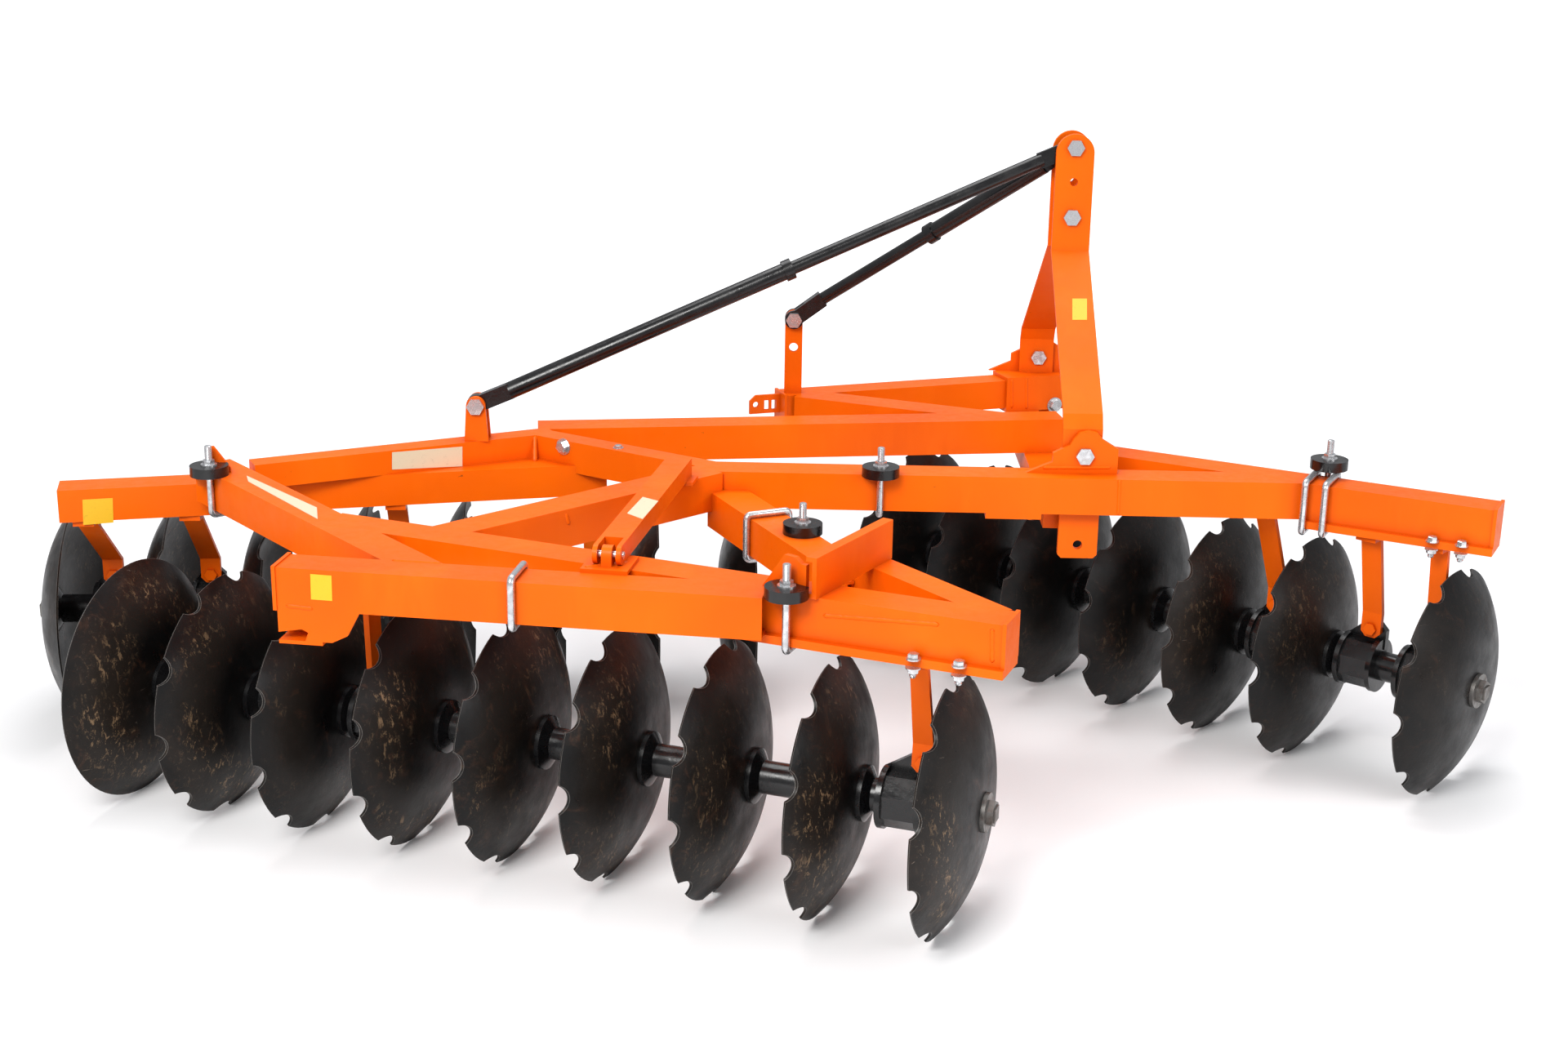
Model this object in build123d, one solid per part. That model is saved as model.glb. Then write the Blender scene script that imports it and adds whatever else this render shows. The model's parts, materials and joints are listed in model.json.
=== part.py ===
from build123d import *
from math import atan2, cos, degrees, hypot, radians, sin, sqrt
import os

os.makedirs("parts", exist_ok=True)

# Disc harrow, millimetres, +Z up. +X is the mast side, and the gang of nine discs lies towards -Y.
# The plan positions below are measured from one working point near the middle of the frame.

# Discs
DISC_RADIUS = 280
DISC_DISH = 80
DISC_PLATE = 5
DISC_FLAT_RADIUS = 62
NOTCH_COUNT = 10
NOTCH_DEPTH = 20
NOTCH_WIDTH = 68
NOTCH_STEP = 7

# Axles, spools and bearings
AXLE_SIDE = 30
AXLE_FIT = 0.25
SPOOL_RADIUS = 36
FLANGE_RADIUS = 60
FLANGE_THICK = 10
FLANGE_FLARE = 14
JOURNAL_RADIUS = 39
RUNNING_FIT = 0.05
HOUSING_RADIUS = 62
HOUSING_LENGTH = 96
SMALL_HOUSING_LENGTH = 78
COLLAR_RISE = 5
COLLAR_LENGTH = 12
BRACKET_RISE = 46
BRACKET_THICK = 18
BRACKET_OVERHANG = 22
END_WASHER_RADIUS = 42
END_WASHER_THICK = 9
END_NUT_RADIUS = 29
END_NUT_LENGTH = 14
AXLE_STUB = 4

# Hangers between the gang beams and the bearings
HANGER_PLATE = 14
HANGER_WIDTH = 50
HANGER_FOOT = 76
HANGER_KNEE = 132
HANGER_REACH = 44
HANGER_BOLT_RADIUS = 9
HANGER_BOLT_HEAD = 16

# Frame tubes
TUBE_SIDE = 90
SLIM_SIDE = 60
BRACE_SIDE = 68
REAR_SIDE = 80
TUBE_WALL = 6
END_LIP = 3
END_PLATE = 8
FRAME_TOP = 735
LEFT_BEAM_TOP = 675
LEFT_BEAM_HEIGHT = 80
CROSS_TUBE_TOP = 690
LIP_DEPTH = 14
LIP_THICK = 18
LIP_A_START = 872
LIP_B_START = 620
SLEEVE_WALL = 10
SLEEVE_LENGTH = 210

# Pads and the folded bracket under the beams
PAD_THICK = 14
MAIN_PAD = (684, 818)
BEAM_B_PAD = (396, 475)
PAD_DEPTH = 60
BRACKET_SHEET = 8
TRAY_DEPTH = 62
END_BRACKET_LENGTH = 88
END_BRACKET_HEIGHT = 52

# Stub channel, gusset and link arm on the frame's top
STUB_HEIGHT = 86
STUB_WEB = 10
STUB_FLANGE = 24
GUSSET_THICK = 12
GUSSET_HEIGHT = 78
GUSSET_SHOULDER = 67
LINK_WIDTH = 60
LINK_HEIGHT = 42
BASE_THICK = 8
BASE_LENGTH = 104
BASE_MARGIN = 20
LAP_LENGTH = 64
LAP_MARGIN = 15
EAR_THICK = 10
EAR_REACH = 52
LINK_PIN_RADIUS = 8
LINK_LUG_THICK = 22
LINK_PIN_END = 3

# Mast
MAST_X = 717
MAST_WIDTH = 96
MAST_PLATE = 14
MAST_TOP = 1496
MAST_FOOT_BEND = 842
MAST_STEP = 18
MAST_LOW_BEND = 876
MAST_HIGH_BEND = 1201
MAST_GAP = 60
MAST_HEAD_Y = 442
NEAR_FOOT_Y = -14
FAR_FOOT_Y = 1004
TOP_PIN_DROP = 34
TOP_LINK_DROP = 120
TOP_LINK_RADIUS = 9.8
MID_BOLT_DROP = 209
TOP_PIN_Z = MAST_TOP - TOP_PIN_DROP
TOP_LINK_Z = MAST_TOP - TOP_LINK_DROP
MID_BOLT_Z = MAST_TOP - MID_BOLT_DROP
FOOT_BOLT_RISE = 44
FOOT_BOLT_SHIFT = 6
FOOT_LUG_THICK = 14
FOOT_LUG_TOP = 106
FOOT_LUG_LEFT = 134
FOOT_LUG_RIGHT = 86
PIN_RADIUS = 12
PIN_FIT = 0.2
PIN_HEAD = 10
HEAD_RADIUS = 22
FOOT_BOLT_X = MAST_X + FOOT_BOLT_SHIFT

# Stays
STAY_TUBE_RADIUS = 22
STAY_ROD_RADIUS = 17
STAY_COLLAR_RADIUS = 27
STAY_COLLAR_LENGTH = 24
STAY_SPLIT = 0.53
EYE_THICK = 14
EYE_RADIUS = 25
EYE_REACH = 96
POST_X = 18
POST_Y = 745
POST_WIDTH = 48
POST_THICK = 12
POST_PIN_RISE = 207
POST_SPARE_RISE = 128
LUG_X = -775
LUG_Y = 196
LUG_PLATE = 12
LUG_GAP = 15
LUG_PIN_RISE = 90
LUG_REACH = 30

# Lower-link plates
HITCH_WIDTH = 96
HITCH_DROP = 124
HITCH_THICK = 16
HITCH_RADIUS = 11.4
HITCH_EDGE = 34
HITCH_CORNER = 9
NEAR_HITCH_Y = -30

# Clamps
CLAMP_ROD_RADIUS = 8
CLAMP_BEND = 11
CLAMP_SEAT_GAP = 1
HOOK_REACH = 60
CAP_RADIUS = 45
CAP_THICK = 24
STUD_RISE = 46
NUT_RADIUS = 14
NUT_HEIGHT = 13

# Gangs: first disc's rim centre, direction of the axle in plan, and how its discs stand.
GANG_A = {
    "start": (-1513, -318),
    "angle": -19.2,
    "count": 9,
    "spacing": 244,
    "last_extra": 16,
    "bulge": 1,
    "plain": (0,),
}
GANG_B = {
    "start": (375, 796),
    "angle": -39.6,
    "count": 7,
    "spacing": 242,
    "last_extra": 127,
    "bulge": 1,
    "plain": (),
}
GANG_C = {
    "start": (-1790, 150),
    "angle": 5,
    "count": 8,
    "spacing": 244,
    "last_extra": 0,
    "bulge": -1,
    "plain": (0,),
}

# Beams in plan: the centre line's two ends.
BEAM_A_LINE = ((-1000, -502), (450, -1085))
BEAM_B_LINE = ((712, 238), (1663, -253))
BEAM_C_LINE = ((-1746, -84), (-461, 234))
RAIL_LINE = ((-1045, -801), (-35, -944))
LEFT_BRACE_LINE = ((-1377, -61), (-700, -880))
INNER_BRACE_LINE = ((-760, -600), (-180, -49))
END_BRACE_LINE = ((170, -705), (425, -1050))
CROSS_TUBE_LINE = ((-144, -60), (172, -730))
MAIN_LINE = ((-198, -26), (1262, -45))
MAST_TUBE_LINE = ((680, 0), (680, 980))
REAR_LEFT_LINE = ((-1283, -59), (-600, 289))
REAR_MID_LINE = ((-618, 263), (-150, -28))
REAR_RIGHT_LINE = ((-640, 342), (733, 536))
DIAGONAL_LINE = ((40, 736), (590, 508))
REAR_RAIL_LINE = ((-18, 738), (810, 1031))
LINK_LINE = ((-353, -760), (-250, -130))
STUB_LINE = ((66, -992), (229, -719))
GUSSET_LINE = ((-38, -905), (66, -988))


def length_of(line):
    (x0, y0), (x1, y1) = line
    return hypot(x1 - x0, y1 - y0)


def angle_of(line):
    (x0, y0), (x1, y1) = line
    return degrees(atan2(y1 - y0, x1 - x0))


def line_place(line, z=0):
    """Local X runs along the line from its first end, at height z."""
    return Pos(line[0][0], line[0][1], z) * Rot(0, 0, angle_of(line))


def bar(line, top, width, height, before=0, after=0):
    """A plain block along a line, made longer by before and after at its ends."""
    length = length_of(line) + before + after
    block = Pos(length / 2 - before, 0, -height / 2) * Box(length, width, height)
    return line_place(line, top) * block


def tube(line, top, width, height, closed=(), lip=END_LIP):
    """A square tube. Its closed ends, named 0 and 1, have a plate that may stand a little proud."""
    shape = bar(line, top, width, height)
    before = -END_PLATE if 0 in closed else TUBE_WALL
    after = -END_PLATE if 1 in closed else TUBE_WALL
    inside = bar(line, top - TUBE_WALL, width - 2 * TUBE_WALL, height - 2 * TUBE_WALL, before, after)
    shape -= inside
    for end in closed:
        along = END_PLATE / 2 if end == 0 else length_of(line) - END_PLATE / 2
        plate = Box(END_PLATE, width + 2 * lip, height + 2 * lip)
        opening = Box(END_PLATE, width - 2 * TUBE_WALL, height - 2 * TUBE_WALL)
        shape += line_place(line, top - height / 2) * Pos(along, 0, 0) * (plate - opening)
        shape += line_place(line, top - height / 2) * Pos(along, 0, 0) * opening
    return shape


def largest(shape):
    """The biggest solid of a shape that a cut has left in several pieces."""
    return max(shape.solids(), key=lambda solid: solid.volume)


def lip_plate(line, bottom, width, start=0):
    """The plate under a gang beam that stands out in front as a lip, from start to the beam's end."""
    length = length_of(line) - start
    strip = Pos(start + length / 2, -LIP_DEPTH / 2, -LIP_THICK / 2) * Box(
        length, width + LIP_DEPTH, LIP_THICK
    )
    return line_place(line, bottom) * strip


def prism_y(points, y0, y1):
    """A plate of constant thickness along Y, from its outline in X and Z."""
    face = make_face(Polyline(*[(x, y0, z) for x, z in points], close=True))
    return extrude(face, amount=y1 - y0, dir=(0, 1, 0))


def hole_y(x, z, radius, y0, y1):
    return Pos(x, (y0 + y1) / 2, z) * Rot(90, 0, 0) * Cylinder(radius, abs(y1 - y0))


def rod(start, end, radius):
    span = Vector(*end) - Vector(*start)
    plane = Plane(origin=start, z_dir=span)
    return plane * Cylinder(radius, span.length, align=(Align.CENTER, Align.CENTER, Align.MIN))


# Gangs
def stations(gang):
    """Each disc's rim plane along the axle."""
    places = [index * gang["spacing"] for index in range(gang["count"])]
    places[-1] += gang["last_extra"]
    return places


def web_span(gang, station):
    """The flat middle of the disc at a station, as its two faces along the axle."""
    apex = station + gang["bulge"] * DISC_DISH
    other = apex - gang["bulge"] * DISC_PLATE
    return min(apex, other), max(apex, other)


def gang_place(gang):
    return Pos(gang["start"][0], gang["start"][1], DISC_RADIUS) * Rot(0, 0, gang["angle"])


def gap_station(gang, index, share=0.5):
    """A place in the free length between disc index and the next one."""
    places = stations(gang)
    low = web_span(gang, places[index])[1] if gang["bulge"] > 0 else places[index]
    high = places[index + 1] if gang["bulge"] > 0 else web_span(gang, places[index + 1])[0]
    return low + share * (high - low)


BEARINGS = {
    "a": [(gap_station(GANG_A, 2, 0.42), SMALL_HOUSING_LENGTH), (gap_station(GANG_A, 7), HOUSING_LENGTH)],
    "b": [
        (gap_station(GANG_B, 1), HOUSING_LENGTH),
        (gap_station(GANG_B, 4), HOUSING_LENGTH),
        (gap_station(GANG_B, 5, 0.27), HOUSING_LENGTH),
        (gap_station(GANG_B, 5, 0.77), SMALL_HOUSING_LENGTH),
    ],
    "c": [
        (gap_station(GANG_C, 0), HOUSING_LENGTH),
        (gap_station(GANG_C, 1), HOUSING_LENGTH),
        (gap_station(GANG_C, 3), HOUSING_LENGTH),
        (gap_station(GANG_C, 5), HOUSING_LENGTH),
    ],
}
LIPPED = FRAME_TOP - TUBE_SIDE - LIP_THICK
PLAIN = FRAME_TOP - TUBE_SIDE
UNDER_MAST_TUBE = PLAIN - SLIM_SIDE
# For each bearing: the beam over it, that beam's underside, how far along the axle the hanger stands from
# the bearing's middle at its lower and its upper end, and its width and thickness.
FLAT = (HANGER_WIDTH, HANGER_PLATE)
EDGEWISE = (HANGER_PLATE, HANGER_WIDTH)
GANGS = {
    "a": (GANG_A, [(BEAM_A_LINE, PLAIN, 0, 0, EDGEWISE), (BEAM_A_LINE, LIPPED, 38, 46, FLAT)]),
    "b": (
        GANG_B,
        [
            (MAST_TUBE_LINE, UNDER_MAST_TUBE, 0, 0, FLAT),
            (BEAM_B_LINE, PLAIN, 0, 0, FLAT),
            (BEAM_B_LINE, LIPPED, 16, 16, FLAT),
            (BEAM_B_LINE, LIPPED, 34, 34, FLAT),
        ],
    ),
    "c": (GANG_C, [(BEAM_C_LINE, LEFT_BEAM_TOP - LEFT_BEAM_HEIGHT, 0, 0, FLAT)] * 4),
}


def plain_disc():
    """A dished disc about the X axis, its rim in the plane X = 0 and its dome towards +X."""
    rise = DISC_RADIUS - DISC_FLAT_RADIUS
    outer = (rise**2 + DISC_DISH**2) / (2 * DISC_DISH)
    centre_x = DISC_DISH - outer
    inner = outer - DISC_PLATE
    rim_x = centre_x * (1 - inner / outer)
    rim_r = DISC_FLAT_RADIUS + rise * inner / outer
    profile = [
        Line((DISC_DISH, 0), (DISC_DISH, DISC_FLAT_RADIUS)),
        TangentArc((DISC_DISH, DISC_FLAT_RADIUS), (0, DISC_RADIUS), tangent=(0, 1)),
        Line((0, DISC_RADIUS), (rim_x, rim_r)),
        TangentArc((DISC_DISH - DISC_PLATE, DISC_FLAT_RADIUS), (rim_x, rim_r), tangent=(0, 1)),
        Line((DISC_DISH - DISC_PLATE, DISC_FLAT_RADIUS), (DISC_DISH - DISC_PLATE, 0)),
        Line((DISC_DISH - DISC_PLATE, 0), (DISC_DISH, 0)),
    ]
    return revolve(make_face(profile), axis=Axis.X)


def notched_disc(disc):
    """The same disc with round notches in its rim."""
    radius = ((NOTCH_WIDTH / 2) ** 2 + NOTCH_DEPTH**2) / (2 * NOTCH_DEPTH)
    cutter = Pos(0, 0, DISC_RADIUS - NOTCH_DEPTH + radius) * Rot(0, 90, 0) * Cylinder(radius, DISC_DISH)
    for index in range(NOTCH_COUNT):
        disc -= Rot(180 + (index + 0.5) * 360 / NOTCH_COUNT, 0, 0) * cutter
    return disc


def gang_discs(gang, plain, notched):
    solids = []
    side = AXLE_SIDE + 2 * AXLE_FIT
    hole = Pos(DISC_DISH, 0, 0) * Box(4 * DISC_PLATE, side, side)
    for index, station in enumerate(stations(gang)):
        shape = plain if index in gang["plain"] else notched
        turn = Rot(0, 0, 0 if gang["bulge"] > 0 else 180)
        phase = index * NOTCH_STEP % (360 / NOTCH_COUNT)
        disc = Rot(phase, 0, 0) * shape - hole
        solids.append(gang_place(gang) * Pos(station, 0, 0) * turn * disc)
    return solids


def spool(start, end, journal):
    """A flanged sleeve on the axle between two discs. A journal in it carries a bearing."""
    points = [
        (start, 0),
        (start, FLANGE_RADIUS),
        (start + FLANGE_THICK, FLANGE_RADIUS),
        (start + FLANGE_THICK + FLANGE_FLARE, SPOOL_RADIUS),
    ]
    for centre, length in journal:
        points += [
            (centre - length / 2, SPOOL_RADIUS),
            (centre - length / 2, JOURNAL_RADIUS),
            (centre + length / 2, JOURNAL_RADIUS),
            (centre + length / 2, SPOOL_RADIUS),
        ]
    points += [
        (end - FLANGE_THICK - FLANGE_FLARE, SPOOL_RADIUS),
        (end - FLANGE_THICK, FLANGE_RADIUS),
        (end, FLANGE_RADIUS),
        (end, 0),
    ]
    body = revolve(make_face(Polyline(*points, close=True)), axis=Axis.X)
    side = AXLE_SIDE + 2 * AXLE_FIT
    return body - Pos((start + end) / 2, 0, 0) * Box(end - start + 2, side, side)


def gang_spools(gang, bearings):
    places = stations(gang)
    solids = []
    for here, there in zip(places, places[1:]):
        start = web_span(gang, here)[1]
        end = web_span(gang, there)[0]
        journal = [item for item in bearings if start < item[0] < end]
        solids.append(gang_place(gang) * spool(start, end, journal))
    return solids


def gang_axle(gang):
    """The square bar through the gang, with a washer and a nut at each end."""
    places = stations(gang)
    low = web_span(gang, places[0])[0]
    high = web_span(gang, places[-1])[1]
    reach = END_WASHER_THICK + END_NUT_LENGTH + AXLE_STUB
    length = high - low + 2 * reach
    shape = Pos((low + high) / 2, 0, 0) * Box(length, AXLE_SIDE, AXLE_SIDE)
    turn = Rot(0, 90, 0)
    for face, way in ((low, -1), (high, 1)):
        washer = Pos(face + way * END_WASHER_THICK / 2, 0, 0) * turn
        shape += washer * Cylinder(END_WASHER_RADIUS, END_WASHER_THICK)
        along = face + way * (END_WASHER_THICK + END_NUT_LENGTH / 2)
        nut = extrude(RegularPolygon(END_NUT_RADIUS, 6), amount=END_NUT_LENGTH / 2, both=True)
        shape += Pos(along, 0, 0) * turn * nut
    return gang_place(gang) * shape


def housing(station, length, shift, plate):
    """A faceted bearing housing round the journal, with a collar at each end and a bracket on top."""
    body = extrude(RegularPolygon(HOUSING_RADIUS, 8), amount=length / 2, both=True)
    body = Rot(0, 90, 0) * Rot(0, 0, 22.5) * body
    for way in (-1, 1):
        collar = Rot(0, 90, 0) * Cylinder(HOUSING_RADIUS + COLLAR_RISE, COLLAR_LENGTH)
        body += Pos(way * (length - COLLAR_LENGTH) / 2, 0, 0) * collar
    width = length / 2 + BRACKET_OVERHANG
    top = HOUSING_RADIUS + BRACKET_RISE
    outline = [
        (-length / 2, 0),
        (shift + width / 2, 0),
        (shift + width / 2, top - BRACKET_OVERHANG),
        (shift + width / 2 - BRACKET_OVERHANG, top),
        (shift - width / 2 + BRACKET_OVERHANG, top),
        (-length / 2, HOUSING_RADIUS),
    ]
    body += prism_y(outline, plate / 2, plate / 2 + BRACKET_THICK)
    bore = Rot(0, 90, 0) * Cylinder(JOURNAL_RADIUS + RUNNING_FIT, 4 * length)
    return Pos(station, 0, 0) * (body - bore)


def beam_offset(gang, line, station):
    """How far the beam's centre line lies across the axle at a station."""
    turn = radians(-gang["angle"])
    ends = []
    for x, y in line:
        dx = x - gang["start"][0]
        dy = y - gang["start"][1]
        ends.append((dx * cos(turn) - dy * sin(turn), dx * sin(turn) + dy * cos(turn)))
    (x0, y0), (x1, y1) = ends
    return y0 + (station - x0) * (y1 - y0) / (x1 - x0)


def hanger(gang, line, beam_bottom, station, low, high, section):
    """A bent flat bar from its foot under the gang beam down to the bearing's bracket."""
    width, thick = section
    across = beam_offset(gang, line, station)
    top = beam_bottom - DISC_RADIUS
    half = thick / 2
    foot = HANGER_FOOT / 2
    end = HOUSING_RADIUS + COLLAR_RISE + 1
    points = [
        (-half, end),
        (half, end),
        (half, HANGER_KNEE),
        (across + half, top - HANGER_PLATE),
        (across + foot, top - HANGER_PLATE),
        (across + foot, top),
        (across - foot, top),
        (across - foot, top - HANGER_PLATE),
        (across - half, top - HANGER_PLATE),
        (-half, HANGER_KNEE),
    ]
    outline = Polyline(*[(0, v, z) for v, z in points], close=True)
    reach = abs(high - low) + width
    plate = extrude(make_face(outline), amount=reach, dir=(1, 0, 0), both=True)
    far = abs(across) + HANGER_FOOT
    front = [
        (low - width / 2, end + width / 4),
        (low - width / 4, end),
        (low + width / 4, end),
        (low + width / 2, end + width / 4),
        (high + width / 2, top),
        (high - width / 2, top),
    ]
    plate &= prism_y(front, -far, far)
    bolt_z = end + HANGER_REACH / 2
    if width > thick:
        plate += hanger_bolt(low, -half, bolt_z)
    return gang_place(gang) * Pos(station, 0, 0) * plate


def hanger_bolt(x, face, z):
    """The head of the bolt that holds a hanger to its bracket."""
    head = extrude(RegularPolygon(HANGER_BOLT_HEAD, 6), amount=HANGER_BOLT_RADIUS)
    return Pos(x, face, z) * Rot(90, 0, 0) * head


# Frame
def frame_tubes():
    """Every tube of the frame, cut where it meets the tubes that it is welded to."""
    side = TUBE_SIDE
    blocks = {
        "beam_a": bar(BEAM_A_LINE, FRAME_TOP, side, side),
        "beam_b": bar(BEAM_B_LINE, FRAME_TOP, side, side),
        "beam_c": bar(BEAM_C_LINE, LEFT_BEAM_TOP, side, LEFT_BEAM_HEIGHT),
        "rail": bar(RAIL_LINE, FRAME_TOP, side, side),
        "left_brace": bar(LEFT_BRACE_LINE, FRAME_TOP, side, side),
        "inner_brace": bar(INNER_BRACE_LINE, FRAME_TOP, side, side),
        "end_brace": bar(END_BRACE_LINE, FRAME_TOP, BRACE_SIDE, side),
        "main": bar(MAIN_LINE, FRAME_TOP, side, side),
        "rear_left": bar(REAR_LEFT_LINE, FRAME_TOP, SLIM_SIDE, SLIM_SIDE),
        "rear_mid": bar(REAR_MID_LINE, FRAME_TOP, SLIM_SIDE, REAR_SIDE),
        "rear_right": bar(REAR_RIGHT_LINE, FRAME_TOP, side, side),
        "rear_rail": bar(REAR_RAIL_LINE, FRAME_TOP, REAR_SIDE, REAR_SIDE),
    }
    grown_end_brace = bar(END_BRACE_LINE, FRAME_TOP + END_LIP, BRACE_SIDE + 2 * END_LIP, side + 2 * END_LIP)
    beam_a = tube(BEAM_A_LINE, FRAME_TOP, side, side, (1,))
    beam_a += lip_plate(BEAM_A_LINE, FRAME_TOP - side, side, LIP_A_START)
    beam_b = tube(BEAM_B_LINE, FRAME_TOP, side, side, (1,))
    beam_b += lip_plate(BEAM_B_LINE, FRAME_TOP - side, side, LIP_B_START)
    return {
        "gang_beam_a": largest(beam_a - blocks["left_brace"]),
        "gang_beam_b": beam_b - blocks["rear_right"],
        "mast_tube": tube(MAST_TUBE_LINE, PLAIN, side, SLIM_SIDE, (0,), 0),
        "gang_beam_c": tube(BEAM_C_LINE, LEFT_BEAM_TOP, side, LEFT_BEAM_HEIGHT, (0, 1), 0),
        "front_rail": largest(tube(RAIL_LINE, FRAME_TOP, side, side, (0,)) - blocks["beam_a"]),
        "left_brace": largest(
            tube(LEFT_BRACE_LINE, FRAME_TOP, side, side) - blocks["beam_c"] - blocks["rail"]
        ),
        "inner_brace": tube(INNER_BRACE_LINE, FRAME_TOP, side, side)
        - blocks["beam_a"]
        - blocks["main"]
        - blocks["rear_mid"],
        "end_brace": tube(END_BRACE_LINE, FRAME_TOP, BRACE_SIDE, side, (0,)) - blocks["beam_a"],
        "cross_tube": tube(CROSS_TUBE_LINE, CROSS_TUBE_TOP, side, side)
        - blocks["main"]
        - blocks["inner_brace"]
        - grown_end_brace,
        "main_beam": largest(tube(MAIN_LINE, FRAME_TOP, side, side) - blocks["beam_b"]),
        "rear_beam_left": largest(
            tube(REAR_LEFT_LINE, FRAME_TOP, SLIM_SIDE, SLIM_SIDE, (0,), 0) - blocks["left_brace"]
        ),
        "rear_beam_middle": tube(REAR_MID_LINE, FRAME_TOP, SLIM_SIDE, REAR_SIDE)
        - blocks["rear_left"]
        - blocks["beam_c"]
        - blocks["main"],
        "rear_beam_right": largest(
            tube(REAR_RIGHT_LINE, FRAME_TOP, side, side)
            - blocks["rear_left"]
            - blocks["rear_mid"]
        ),
        "rear_diagonal": largest(
            tube(DIAGONAL_LINE, FRAME_TOP, side, side)
            - blocks["rear_rail"]
            - blocks["rear_right"]
        ),
        "rear_rail": rear_rail(),
    }


def rear_rail():
    """The rearmost tube, with the sleeve at its mast end."""
    shape = tube(REAR_RAIL_LINE, FRAME_TOP, REAR_SIDE, REAR_SIDE, (0,))
    length = length_of(REAR_RAIL_LINE)
    side = REAR_SIDE + 2 * SLEEVE_WALL
    sleeve = Box(SLEEVE_LENGTH, side, side) - Box(SLEEVE_LENGTH + 2, REAR_SIDE, REAR_SIDE)
    place = line_place(REAR_RAIL_LINE, FRAME_TOP - REAR_SIDE / 2) * Pos(length - SLEEVE_LENGTH / 2, 0, 0)
    return shape + place * sleeve


def beam_pad(line, span, width):
    """A flat pad welded under a beam along part of its front edge."""
    start, end = span
    place = line_place(line, PLAIN)
    across = -(width - PAD_DEPTH) / 2
    return place * Pos((start + end) / 2, across, -PAD_THICK / 2) * Box(end - start, PAD_DEPTH, PAD_THICK)


def rail_bracket():
    """The folded sheet under the front rail's left end: a notched front and a tray behind it."""
    drop = TUBE_SIDE * 0.75
    front = [
        (0, 0),
        (0, -0.75 * drop),
        (0.75 * drop, -0.62 * drop),
        (0.95 * drop, -0.72 * drop),
        (0.85 * drop, -drop),
        (1.7 * drop, -drop),
        (2.2 * drop, -0.75 * drop),
        (2.6 * drop, 0),
    ]
    sheet = prism_y(front, -TUBE_SIDE / 2, BRACKET_SHEET - TUBE_SIDE / 2)
    tray = [(0, -drop - BRACKET_SHEET), (1.4 * drop, -drop - BRACKET_SHEET), (1.4 * drop, -drop), (0, -drop)]
    sheet += prism_y(tray, -TUBE_SIDE / 2, TRAY_DEPTH - TUBE_SIDE / 2)
    back = [(0, -drop), (1.4 * drop, -drop), (1.4 * drop, 0), (0, 0)]
    sheet += prism_y(back, TRAY_DEPTH - BRACKET_SHEET - TUBE_SIDE / 2, TRAY_DEPTH - TUBE_SIDE / 2)
    return line_place(RAIL_LINE, PLAIN) * Pos(END_PLATE, 0, 0) * sheet


def rail_end_bracket():
    """The slotted plate with its bolt eye that carries on from the rear rail's left end."""
    length = END_BRACKET_LENGTH
    height = END_BRACKET_HEIGHT
    outline = [
        (0, -height),
        (0, 0),
        (-0.8 * length, 0),
        (-length, -0.3 * height),
        (-length, -height),
    ]
    plate = prism_y(outline, -BRACKET_SHEET / 2, BRACKET_SHEET / 2)
    slot = Box(0.16 * length, 4 * BRACKET_SHEET, 0.5 * height)
    for share in (0.2, 0.44):
        plate -= Pos(-share * length, 0, -0.55 * height) * slot
    plate -= hole_y(-0.8 * length, -0.5 * height, LINK_PIN_RADIUS, -height, height)
    return line_place(REAR_RAIL_LINE, FRAME_TOP - END_LIP) * plate


# Pieces on the frame's top
def stub_channel():
    """The short channel over the end brace, open towards the back."""
    length = length_of(STUB_LINE)
    web = Pos(length / 2, STUB_WEB / 2, STUB_HEIGHT / 2) * Box(length, STUB_WEB, STUB_HEIGHT)
    shape = web
    for z in (STUB_WEB / 2, STUB_HEIGHT - STUB_WEB / 2):
        shape += Pos(length / 2, STUB_FLANGE / 2, z) * Box(length, STUB_FLANGE, STUB_WEB)
    return line_place(STUB_LINE, FRAME_TOP) * shape


def gusset():
    """The pointed plate that stands on the gang beam beside the stub channel."""
    length = length_of(GUSSET_LINE)
    points = [(0, 0), (0.42 * length, GUSSET_HEIGHT), (0.62 * length, GUSSET_HEIGHT)]
    points += [(0.74 * length, GUSSET_SHOULDER), (length, GUSSET_SHOULDER), (length, 0)]
    plate = prism_y(points, -GUSSET_THICK / 2, GUSSET_THICK / 2)
    return largest(line_place(GUSSET_LINE, FRAME_TOP) * plate - stub_block())


def stub_block():
    half = STUB_FLANGE / 2
    block = Pos(length_of(STUB_LINE) / 2, half, STUB_HEIGHT / 2) * Box(
        length_of(STUB_LINE), STUB_FLANGE, STUB_HEIGHT
    )
    return line_place(STUB_LINE, FRAME_TOP) * block


def link_arm():
    """The box arm from its clevis over the gang beam to the main beam's left end."""
    length = length_of(LINK_LINE)
    shape = Pos(length / 2, 0, LINK_HEIGHT / 2) * Box(length, LINK_WIDTH, LINK_HEIGHT)
    middle = LINK_HEIGHT / 2
    for side in (-1, 1):
        ear = Pos(-EAR_REACH / 2, 0, 0) * Box(EAR_REACH, EAR_THICK, LINK_HEIGHT)
        ear += Pos(-EAR_REACH, 0, 0) * Rot(90, 0, 0) * Cylinder(middle, EAR_THICK)
        across = side * (LINK_WIDTH - EAR_THICK) / 2
        shape += Pos(0, across, middle) * ear
    hole = Pos(-EAR_REACH, 0, middle) * Rot(90, 0, 0) * Cylinder(LINK_PIN_RADIUS + PIN_FIT, 2 * LINK_WIDTH)
    return line_place(LINK_LINE, FRAME_TOP + BASE_THICK) * (shape - hole)


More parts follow.
